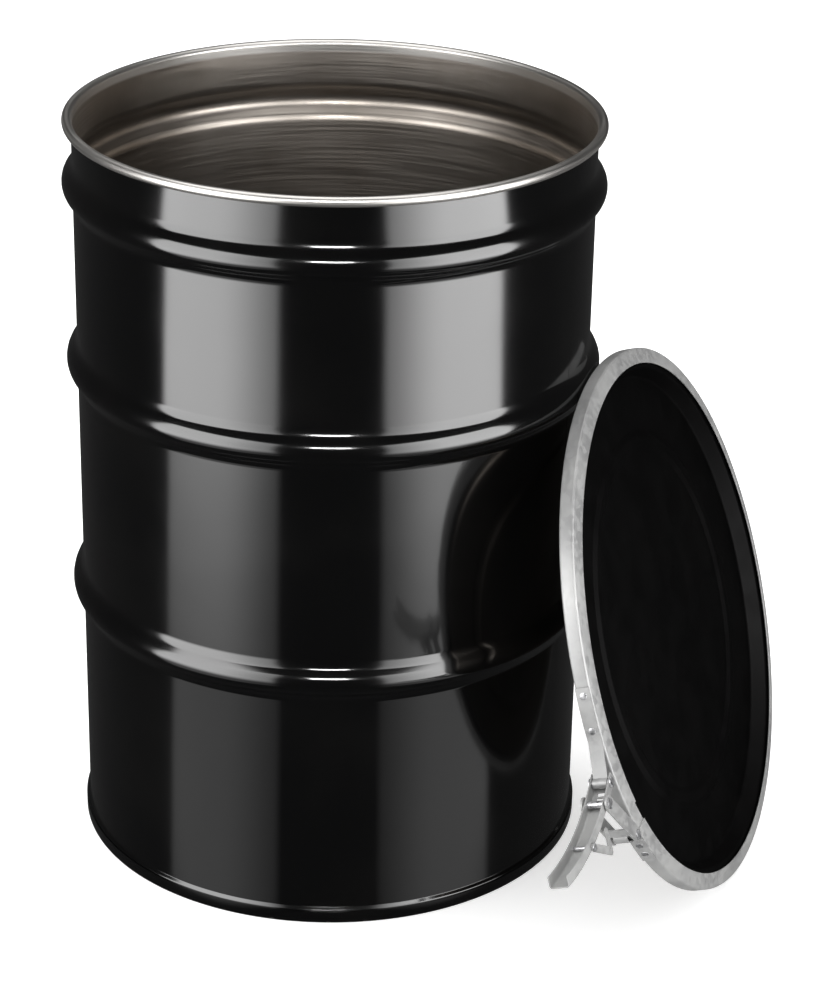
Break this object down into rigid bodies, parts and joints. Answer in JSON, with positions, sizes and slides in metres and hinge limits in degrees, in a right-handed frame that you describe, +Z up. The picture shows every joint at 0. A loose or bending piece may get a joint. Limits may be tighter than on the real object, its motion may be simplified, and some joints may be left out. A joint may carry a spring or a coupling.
{
  "type": "open-head steel drum",
  "caption": "Open-head steel drum with rolling hoops, its recessed lid clamped in a lever-lock closing ring and leaning against the side.",
  "frame": {"origin": "middle of the drum's bottom chime, on the floor", "axes": "+Z up along the drum's axis; the lid leans on the +X side and its lever points towards -Y"},
  "size_m": [0.8362, 0.8823, 0.85],
  "materials": {
    "black_paint": "gloss black paint",
    "lid_paint": "black paint",
    "bare_steel": "bare rolled sheet, oiled",
    "galvanised_steel": "galvanised",
    "zinc_pin": "zinc plated",
    "gasket_rubber": "matt",
    "seam_sealant": "matt"
  },
  "bodies": {
    "drum": {"drum_shell": "black_paint", "side_weld_bead": "black_paint", "bottom_head": "bare_steel", "seam_compound": "seam_sealant"},
    "cover": {"lid": "lid_paint", "lid_gasket": "gasket_rubber"},
    "ring_upper": {"upper_ring_half": "galvanised_steel", "hinge_strap": "galvanised_steel", "strap_rivets": "zinc_pin", "lever_pin": "zinc_pin"},
    "ring_lower": {"lower_ring_half": "galvanised_steel", "bridge_tongue": "galvanised_steel", "anchor_bracket": "galvanised_steel", "anchor_rivets": "zinc_pin"},
    "lever": {"lock_lever": "galvanised_steel", "catch_pin": "zinc_pin"},
    "link": {"lock_link": "galvanised_steel", "link_pin": "zinc_pin", "anchor_pin": "zinc_pin"},
    "catch": {"safety_catch": "galvanised_steel"}
  },
  "joints": [
    {"name": "cover_lift", "type": "slide", "parent": "drum", "child": "cover", "axis": [0.8846, -0.3449, 0.314], "range_m": [0, 0.35]},
    {"name": "ring_upper_flex", "type": "hinge", "parent": "cover", "child": "ring_upper", "pos_m": [0.45958, 0.16738, 0.399], "axis": [0.8846, -0.3449, 0.314], "range_deg": [0, 1.21]},
    {"name": "ring_lower_flex", "type": "hinge", "parent": "ring_upper", "child": "ring_lower", "pos_m": [0.45958, 0.16738, 0.399], "axis": [0.8846, -0.3449, 0.314], "range_deg": [-2.42, 0]},
    {"name": "lever_swing", "type": "hinge", "parent": "ring_upper", "child": "lever", "pos_m": [0.28227, -0.41932, 0.25411], "axis": [0.8846, -0.3449, 0.314], "range_deg": [-102.3, 0]},
    {"name": "link_swing", "type": "hinge", "parent": "lever", "child": "link", "pos_m": [0.27568, -0.44561, 0.2438], "axis": [0.8846, -0.3449, 0.314], "range_deg": [0, 77.6]},
    {"name": "catch_swing", "type": "hinge", "parent": "lever", "child": "catch", "pos_m": [0.2572, -0.50721, 0.22819], "axis": [0.8846, -0.3449, 0.314], "range_deg": [0, 70]}
  ],
  "couplings": [
    {"joint": "ring_upper_flex", "follows": "lever_swing", "ratio": -0.01171},
    {"joint": "ring_lower_flex", "follows": "lever_swing", "ratio": 0.02341},
    {"joint": "link_swing", "follows": "lever_swing", "ratio": -0.7582}
  ]
}
